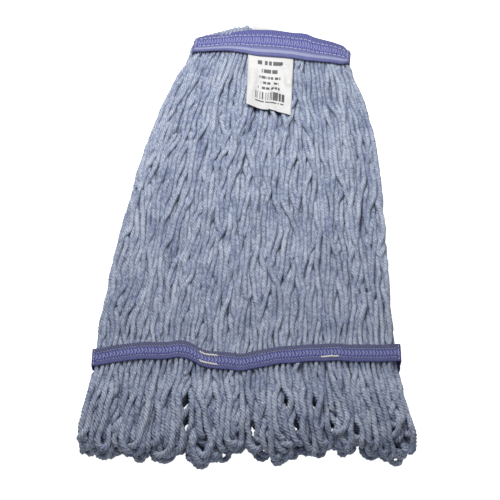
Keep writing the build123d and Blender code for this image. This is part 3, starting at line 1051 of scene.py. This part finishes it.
def stitch(surface, up, start, end, radius, rise, index):
    """Rings of one stitch between two places (s, v) on a tape's outer side."""
    t = np.linspace(0, 1, 11)
    s = np.array([start[0] + (end[0] - start[0]) * t]).T
    v = np.array([start[1] + (end[1] - start[1]) * t]).T
    step = 0.01
    middle = surface(s, v)[:, 0]
    ds = surface(s + step, v)[:, 0] - middle
    dv = surface(s, v + step)[:, 0] - middle
    normal = np.cross(ds, dv)
    normal /= np.linalg.norm(normal, axis=1)[:, None] + 1e-12
    if normal[:, 2].mean() * up < 0:
        normal = -normal
    line = middle + normal * (rise * np.sin(np.pi * t) ** 0.6 - 0.35 * radius)[:, None]
    along = np.gradient(line, axis=0)
    along /= np.linalg.norm(along, axis=1)[:, None]
    side = np.cross(along, normal)
    run = np.append(0, np.cumsum(np.linalg.norm(np.diff(line, axis=0), axis=1)))
    angle = np.arange(6) / 6 * 2 * np.pi + (2 * np.pi * run / thread_lay)[:, None]
    size = radius * (0.45 + 0.6 * np.sin(np.pi * t) ** 0.5)[:, None]
    rings = line[:, None] + (np.cos(angle) * size)[..., None] * normal[:, None]
    rings = rings + (np.sin(angle) * size)[..., None] * side[:, None]
    return rings, run, index


def stitch_line(surface, up, first, last, v_of, length, pitch, radius, rise=0.3, skip=()):
    """A row of stitches along a tape, slightly uneven as sewn."""
    count = int((last - first) // pitch)
    row = []
    for k in range(count):
        s = first + (k + 0.5) * (last - first) / count
        if any(abs(s - place) < reach for place, reach in skip):
            continue
        half = length / 2 * random.uniform(0.88, 1.08)
        stray = random.normal(0, 0.006)
        start, end = (s - half, v_of(s - half) + stray), (s + half, v_of(s + half) + stray)
        row.append(stitch(surface, up, start, end, radius, rise, k))
    return row


def cross_row(surface, up, s, low, high, count, radius, slant=0.5):
    """Stitches across a tape, closing its folded end."""
    step = (high - low) / count
    row = []
    for k in range(count):
        start, end = (s - slant / 2, low + (k + 0.12) * step), (s + slant / 2, low + (k + 0.84) * step)
        row.append(stitch(surface, up, start, end, radius, 0.3, k))
    return row


def thread_material(name, light, dark):
    """Twisted thread: painted shade darkens the ply grooves, and the fibres are faintly uneven."""
    material = bpy.data.materials.new(name)
    material.use_nodes = True
    tree = material.node_tree
    shader = tree.nodes["Principled BSDF"]
    place = wire(tree, "ShaderNodeUVMap", {"uv_map": "Lay"})
    ply = group_node(tree, ply_tree)
    tree.links.new(place.outputs[0], ply.inputs["Lay"])
    ply.inputs["Plies"].default_value = 3.0
    ply.inputs["Fibre Size"].default_value = 9.0
    # Painted shade: the ply grooves are mixed towards the darker thread colour.
    shade = maths(tree, "MULTIPLY", ply.outputs["Groove"], 0.7)
    tree.links.new(blend_colour(tree, shade, (*light, 1), (*dark, 1)), shader.inputs["Base Color"])
    shader.inputs["Roughness"].default_value = 0.55
    bump = wire(tree, "ShaderNodeBump", Height=ply.outputs["Height"], Strength=0.5, Distance=0.0002)
    tree.links.new(bump.outputs[0], shader.inputs["Normal"])
    return material


def thread_piece(name, rows, body, material, node):
    piece = yarn_piece(name, rows, material, thread_lay)
    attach(piece, body)
    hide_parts(node)
    return piece


head_stitch, head_pitch = 3.5, 4.1
bobbin_stitch, bobbin_radius = 3.0, 0.34
white_thread = thread_material("white_thread", (0.62, 0.64, 0.72), (0.4, 0.42, 0.52))
for name, row in (("upper", upper_row), ("lower", lower_row)):
    stitches = stitch_line(
        face_surface, 1, -flat_run + 3, flat_run - 3, row, head_stitch, head_pitch, 0.42, 0.5
    )
    thread_piece(f"headband_{name}_thread", stitches, "headband", white_thread, f"headband_{name}_stitches")
bobbin = []
for share in (0.25, 0.75):
    bobbin += stitch_line(
        inner_surface, -1, -70, 70, lambda s: share, bobbin_stitch, head_pitch, bobbin_radius
    )
thread_piece("headband_bobbin_thread", bobbin, "headband", white_thread, "headband_bobbin_stitches")
ends = []
for s in (-flat_run + 0.6, flat_run - 1.2):
    ends += cross_row(face_surface, 1, s, 0.08, 0.94, 9, 0.36)
thread_piece("headband_end_thread", ends, "headband", white_thread, "headband_end_stitches")

# ---------------------------------------------------------------------------------------
# Tailbands: narrower tapes of the same weave on both sides of each half, drawn into waves
# by the yarn. The front half's face is up; the rear half lies face down on the table.

tail_tape = tape_material(
    "tailband_weave",
    pitch=2.9,
    middle=(0.018, 0.018, 0.2),
    upper=(0.022, 0.02, 0.075),
    lower=(0.035, 0.038, 0.19),
    light=(0.27, 0.30, 0.52),
)
tail_thread = thread_material("tailband_thread", (0.5, 0.52, 0.6), (0.3, 0.32, 0.42))
tape_box = {}
for half in ("front", "rear"):
    for kind in ("face", "inner"):
        tape_box[half, kind] = extent(f"{half}_tailband_{kind}_tape")
tail_middle = (tail_top + tail_foot) / 2
tail_width = tail_top - tail_foot
tail_flat = tail_half - 0.6
tail_corner = 1.4
tail_thickness = 0.8
tail_stitch, tail_pitch, tail_thread_radius, tail_rise = 1.9, 2.5, 0.33, 0.35
row_share = {"upper": 0.74, "lower": 0.23}


def tail_surface(half, kind):
    """Outer side of one tailband tape. A face tape also runs down, or up, both ends."""
    low, high = tape_box[half, kind]
    up = 1 if (half == "front") == (kind == "face") else -1
    level = high[2] if up > 0 else low[2] + 0.05
    fall = (high[2] - low[2]) - tail_corner if kind == "face" else 0.0

    def surface(s, v):
        a = np.clip((np.abs(s) - tail_flat) / tail_corner, 0, math.pi / 2)
        x = np.sign(s) * (np.minimum(np.abs(s), tail_flat) + tail_corner * np.sin(a))
        past_corner = np.clip(np.abs(s) - tail_flat - tail_corner * math.pi / 2, 0, None)
        drop = tail_corner * (1 - np.cos(a)) + past_corner
        rows = sum(np.exp(-(((v - share) / 0.05) ** 2)) for share in row_share.values())
        y = tail_middle + tail_wave(x, half) + (v - 0.5) * tail_width + 0.2 * np.sin(x / 3.7)
        ripple = 0.25 * np.sin(x / 4.6 + 2 * v) + 0.2 * np.sin(x / 2.3) * (0.5 - v)
        z = level - up * (drop + 0.25 * rows + 0.3 + ripple * (up > 0)) - up * 0.5 * (2 * v - 1) ** 2
        return np.stack([x + 0 * v, y, z + 0 * v], -1)

    reach = tail_flat + tail_corner * math.pi / 2 + fall if kind == "face" else tail_half
    return surface, up, reach


def tail_field(s, v):
    return np.interp(v, [0, row_share["lower"], row_share["upper"], 1], [0, 1, 2, 3])[None] + 0 * s[:, None]


tail_tapes = {}
for half in ("front", "rear"):
    for kind in ("face", "inner"):
        surface, up, reach = tail_surface(half, kind)
        along, across = np.linspace(-reach, reach, 321), np.linspace(0, 1, 19)
        name = f"{half}_tailband_{kind}_cloth"
        piece = tape_piece(name, surface, along, across, tail_thickness, up, tail_field, tail_tape)
        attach(piece, half + "_skirt")
        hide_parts(f"{half}_tailband_{kind}_tape")
        tail_tapes[half, kind] = (surface, up)

bartacks = {"upper": [-32.0], "lower": [-32.0, 68.0]}
bartack_half = 7.5
for half in ("front", "rear"):
    bobbin = []
    ends_at = (-tail_half + 3, tail_half - 3)
    sewing = (tail_stitch, tail_pitch, tail_thread_radius, tail_rise)
    surface, up = tail_tapes[half, "face"]
    under, under_up = tail_tapes[half, "inner"]
    for name, share in row_share.items():
        skip = [(place, bartack_half) for place in bartacks[name]] if half == "front" else []
        stitches = stitch_line(surface, up, *ends_at, lambda s: share, *sewing, skip)
        band = f"{half}_tailband_{name}"
        thread_piece(band + "_thread", stitches, half + "_skirt", tail_thread, band + "_stitches")
        bobbin += stitch_line(under, under_up, *ends_at, lambda s: share, *sewing)
    band = half + "_tailband"
    thread_piece(band + "_bobbin_thread", bobbin, half + "_skirt", tail_thread, band + "_bobbin_stitches")
    ends = []
    for s in (-tail_half + 1.2, tail_half - 1.2):
        ends += cross_row(surface, up, s, 0.06, 0.94, 5, 0.34)
    thread_piece(band + "_end_thread", ends, half + "_skirt", white_thread, band + "_end_stitches")

# ---------------------------------------------------------------------------------------
# Bartacks: where the tailband's tape laps, thick off-white thread sewn to and fro along
# the rows of stitching, so that it stands up as a ragged ridge.

cream_thread = thread_material("cream_thread", (0.92, 0.9, 0.85), (0.66, 0.64, 0.58))
surface, up = tail_tapes["front", "face"]
tacks = []
for name, places in bartacks.items():
    for place in places:
        for k in range(13):
            s = place - 6.6 + k * 1.1
            lean = 0.07 if k % 2 else -0.07
            v = row_share[name] + random.normal(0, 0.012)
            tacks.append(stitch(surface, up, (s - 0.2, v - lean), (s + 1.6, v + lean), 0.72, 0.9, k))
tack_node = "front_tailband_bartacks"
thread_piece(
    "front_tailband_bartack_thread", tacks, "front_skirt", cream_thread, tack_node
)

# ---------------------------------------------------------------------------------------
# Label: a white printed tag, sewn in under the face tape. Its tail shows above the band
# and its flap hangs straight down over the yarn, curling up at its lower left corner.

tag_low, tag_high = extent("label_flap", head_axes, head_origin)
tag_middle, tag_half = (tag_low[0] + tag_high[0]) / 2, (tag_high[0] - tag_low[0]) / 2
front_points = np.concatenate([settled[index] for index in lines_of["front_skirt"]])
front_radii = np.concatenate([line_radius[index] for index in lines_of["front_skirt"]])


def yarn_top(x, y, reach):
    """Height of the front yarn's top round each place, in millimetres."""
    height = np.full(x.shape, -99.0)
    for row in np.ndindex(x.shape):
        near = (front_points[:, 0] - x[row]) ** 2 + (front_points[:, 1] - y[row]) ** 2 < reach**2
        if near.any():
            height[row] = (front_points[near, 2] + front_radii[near]).max()
    return height


def tag_plan(s, v):
    """Plan of the flap: its top follows the band and its sides hang straight down."""
    top = from_head(np.stack([tag_middle + s, lower_edge(tag_middle + s)[0] + 1.0, 0 * s], -1))
    foot_x = top[..., 0].mean() - 2.4 + s * 0.955
    foot_y = top[..., 1].mean() - 55.5 - 0.29 * s
    return top[..., 0] + (foot_x - top[..., 0]) * v, top[..., 1] + (foot_y - top[..., 1]) * v


tag_s, tag_v = np.linspace(-tag_half, tag_half, 30), np.linspace(0, 1, 40)
grid_s, grid_v = np.meshgrid(tag_s, tag_v, indexing="ij")
plan_x, plan_y = tag_plan(grid_s, grid_v)
rest = yarn_top(plan_x, plan_y, 3.6)
soft = np.pad(rest, 7, mode="edge")
soft_window = np.hanning(17)[1:-1] / 8
for axis in (0, 1):
    soft = np.apply_along_axis(lambda line: np.convolve(line, soft_window, "valid"), axis, soft)
edge_height = lower_edge(tag_middle + grid_s)[1] - 1.7
lying = np.maximum(soft, rest - 0.6) + 0.9
lying = lying + (edge_height - lying) * (1 - smooth(grid_v * 7))
lying += 4.2 * smooth((grid_v - 0.45) / 0.55) * smooth((-grid_s - tag_half * 0.1) / (tag_half * 1.1))
lying += 1.2 * smooth((grid_v - 0.75) / 0.25) * (1 - (grid_s / tag_half) ** 2)


def tag_surface(s, v):
    return np.stack([plan_x, plan_y, lying], -1)


def tag_field(s, v):
    """Across the tag in millimetres in X; Y is the place down it."""
    return v[None] * 52 + 0 * s[:, None]


# Print: rows of plain dashes and a block of plain bars, which say nothing.
print_tree, print_in, print_out = new_group(
    "plain_print", [("Place", "NodeSocketVector", None)], [("Ink", "NodeSocketFloat")]
)
parts = wire(print_tree, "ShaderNodeSeparateXYZ", i0=print_in.outputs["Place"])
u, w = parts.outputs["X"], parts.outputs["Y"]


def between(value, low, high, soft=0.12):
    """1 where the value lies between two limits."""
    above = wire(print_tree, "ShaderNodeMapRange", i0=value, i1=low - soft, i2=low + soft).outputs[0]
    below = wire(print_tree, "ShaderNodeMapRange", i0=value, i1=high + soft, i2=high - soft).outputs[0]
    return maths(print_tree, "MULTIPLY", above, below)


def dashes(size, seed, share):
    """Dashes of uneven length along a row."""
    cell = maths(print_tree, "FLOOR", maths(print_tree, "DIVIDE", u, size))
    place = maths(print_tree, "ADD", cell, seed)
    noise = wire(print_tree, "ShaderNodeTexWhiteNoise", {"noise_dimensions": "1D"}, W=place)
    return maths(print_tree, "GREATER_THAN", noise.outputs[0], share)


ink = None
for top, tall, half_wide, size, seed, share in (
    (5.2, 3.4, 12.0, 1.3, 3.0, 0.15),
    (12.2, 3.4, 8.0, 1.0, 11.0, 0.25),
    (18.6, 2.4, 10.0, 0.8, 23.0, 0.25),
    (23.6, 2.4, 8.5, 0.8, 37.0, 0.25),
    (28.6, 2.4, 11.0, 0.8, 51.0, 0.25),
    (33.8, 7.5, 14.5, 0.7, 67.0, 0.42),
    (43.0, 1.4, 14.0, 1.2, 83.0, 0.3),
):
    row = maths(print_tree, "MULTIPLY", between(w, top, top + tall), between(u, -half_wide, half_wide))
    row = maths(print_tree, "MULTIPLY", row, dashes(size, seed, share))
    ink = row if ink is None else maths(print_tree, "MAXIMUM", ink, row)
print_tree.links.new(ink, print_out.inputs["Ink"])

tag_cloth = bpy.data.materials.new("label_tag")
tag_cloth.use_nodes = True
tree = tag_cloth.node_tree
shader = tree.nodes["Principled BSDF"]
place = wire(tree, "ShaderNodeUVMap", {"uv_map": "Weave"})
marks = group_node(tree, print_tree)
tree.links.new(place.outputs[0], marks.inputs["Place"])
weft = wire(
    tree, "ShaderNodeTexWave", {"wave_type": "BANDS"}, Vector=place.outputs[0], Scale=1.6, Distortion=0.4
)
faint = wire(tree, "ShaderNodeTexNoise", Vector=place.outputs[0], Scale=0.3, Detail=3.0)
white = blend_colour(tree, faint.outputs[0], (0.62, 0.62, 0.612, 1), (0.68, 0.68, 0.672, 1))
ink_share = maths(tree, "MULTIPLY", marks.outputs["Ink"], 0.94)
inked = blend_colour(tree, ink_share, white, (0.02, 0.02, 0.024, 1))
tree.links.new(inked, shader.inputs["Base Color"])
shader.inputs["Roughness"].default_value = 0.48
bump = wire(tree, "ShaderNodeBump", Height=weft.outputs["Fac"], Strength=0.12, Distance=0.0001)
tree.links.new(bump.outputs[0], shader.inputs["Normal"])

flap = tape_piece("label_flap_tag", tag_surface, tag_s, tag_v, 0.28, 1, tag_field, tag_cloth)
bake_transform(flap)
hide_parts("label_flap")


def tail_end_surface(s, v):
    """The sewn end: flat under the face tape, and out over the fold at its left."""
    x = tag_middle + s
    y0 = lower_edge(x)[0] + 1.5
    y1, z1 = upper_edge(x)
    y = y0 + (y1 + 4.4 - 3.9 * smooth((s + tag_half) / (2 * tag_half)) - y0) * v
    z = np.where(y < y1, face_height(x, y) - 1.5, z1 - 1.35 + 0.12 * (y - y1))
    return from_head(np.stack([x, y, z], -1))


def blank_field(s, v):
    """Past the last row of print, so that the tail stays blank."""
    return 60 + 0 * s[:, None] + v[None]


tail_piece = tape_piece(
    "label_tail_tag", tail_end_surface, tag_s, tag_v, 0.22, 1, blank_field, tag_cloth
)
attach(tail_piece, "headband")
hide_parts("label_tail")
